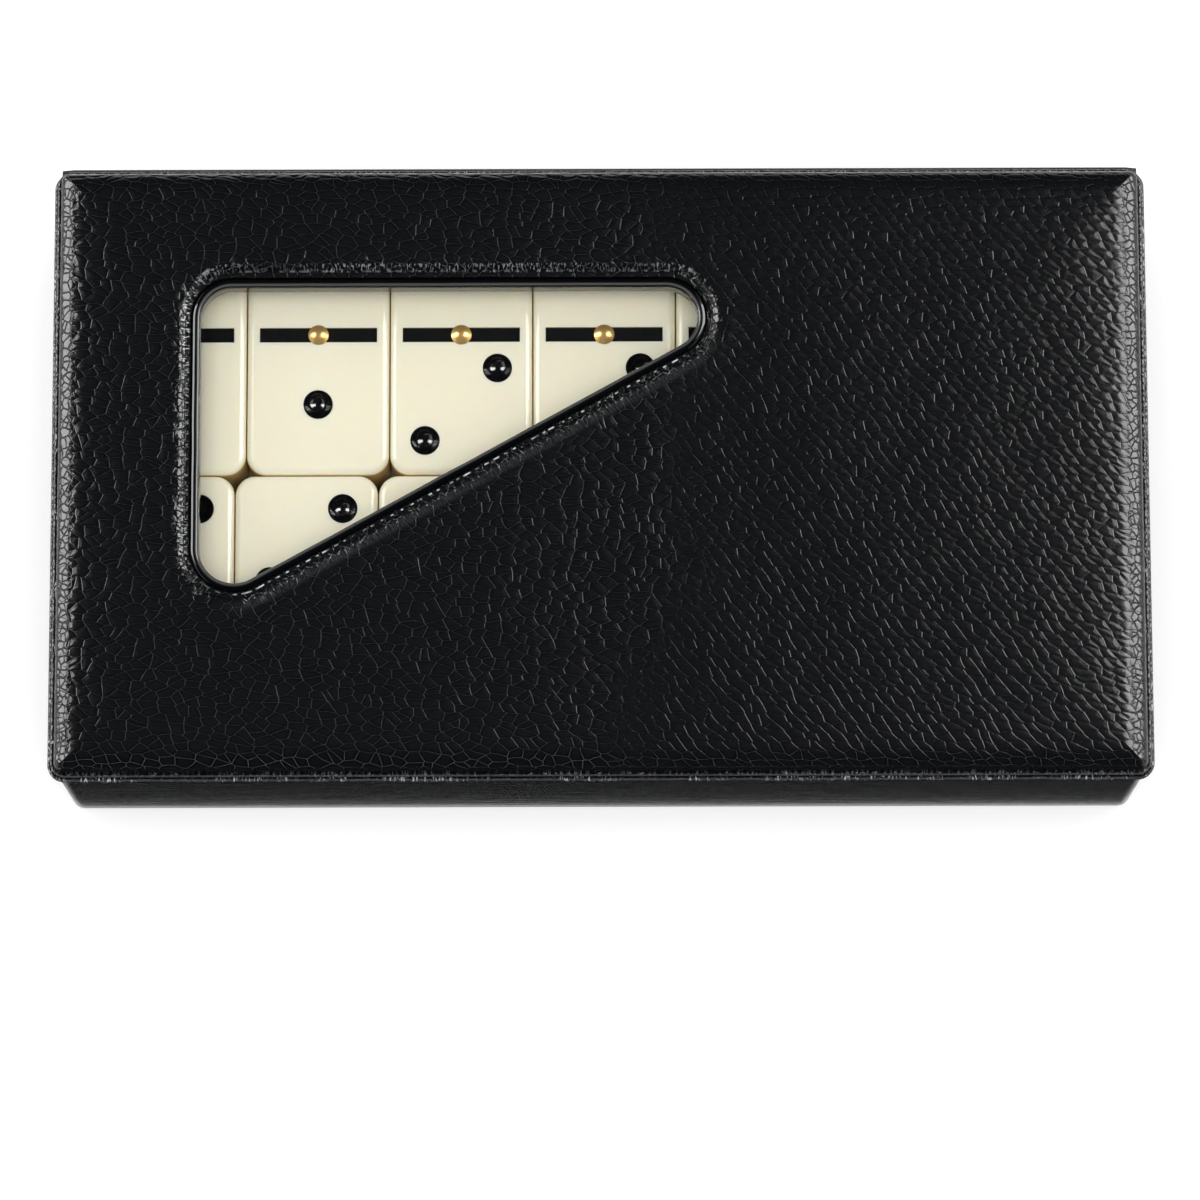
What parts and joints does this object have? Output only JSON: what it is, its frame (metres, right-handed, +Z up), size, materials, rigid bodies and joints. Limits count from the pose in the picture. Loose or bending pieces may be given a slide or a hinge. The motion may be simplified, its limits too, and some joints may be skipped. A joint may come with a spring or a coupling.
{
  "type": "domino storage case",
  "caption": "Hinged leatherette-covered case with a padded lid and a triangular clear window, holding stacked dominoes with pin spinners.",
  "frame": {"origin": "middle of the underside's outline, on the surface the case lies on", "axes": "+X towards the right seen from the front, -Y towards the front, +Z up; the hinge runs along X at the back"},
  "size_m": [0.1946, 0.1108, 0.0426],
  "materials": {
    "grained_leatherette": "black pebble-grained vinyl, semi-gloss",
    "smooth_leatherette": "black, fine grain, glossy at a low angle",
    "sealed_edge": "heat-sealed black vinyl edge",
    "hinge_vinyl": "black vinyl strip",
    "window_bead": "smooth black, glossy",
    "clear_vinyl": "clear flexible vinyl, glossy",
    "greyboard": "pressed greyboard, dull",
    "foam": "charcoal polyurethane foam",
    "flocked_lining": "charcoal flock",
    "ivory": "polished warm ivory urea",
    "black_enamel": "glossy black enamel",
    "brass_pin": "polished dome"
  },
  "bodies": {
    "base": {"bottom_cover": "smooth_leatherette", "bottom_board": "greyboard", "front_wall_board": "greyboard", "back_wall_board": "greyboard", "left_wall_board": "greyboard", "right_wall_board": "greyboard", "side_wrap": "smooth_leatherette", "base_rim": "sealed_edge", "wall_lining": "flocked_lining", "floor_foam": "foam", "floor_cloth": "flocked_lining", "domino_1_3": "ivory", "domino_1_4": "ivory", "domino_1_5": "ivory", "domino_2_5": "ivory", "domino_2_6": "ivory", "domino_3_3": "ivory", "domino_3_4": "ivory", "domino_3_5": "ivory", "domino_3_6": "ivory", "domino_4_4": "ivory", "domino_4_5": "ivory", "domino_4_6": "ivory", "domino_5_5": "ivory", "domino_5_6": "ivory", "domino_0_0": "ivory", "domino_0_1": "ivory", "domino_0_2": "ivory", "domino_0_3": "ivory", "domino_0_4": "ivory", "domino_0_5": "ivory", "domino_1_1": "ivory", "domino_1_2": "ivory", "domino_2_2": "ivory", "domino_2_3": "ivory", "domino_2_4": "ivory", "pip_enamel": "black_enamel", "divider_enamel": "black_enamel", "spinner_pins": "brass_pin", "hinge_strip": "hinge_vinyl"},
    "lid": {"lid_edge": "sealed_edge", "lid_board": "greyboard", "lid_foam": "foam", "lid_cover": "grained_leatherette", "window_bead": "window_bead", "window_pane": "clear_vinyl", "lid_inner_panel": "flocked_lining"}
  },
  "joints": [
    {"name": "lid_hinge", "type": "hinge", "parent": "base", "child": "lid", "pos_m": [0, 0.05502, 0.0376], "axis": [-1, 0, 0], "range_deg": [0, 178], "deforming": ["hinge_strip"]}
  ]
}
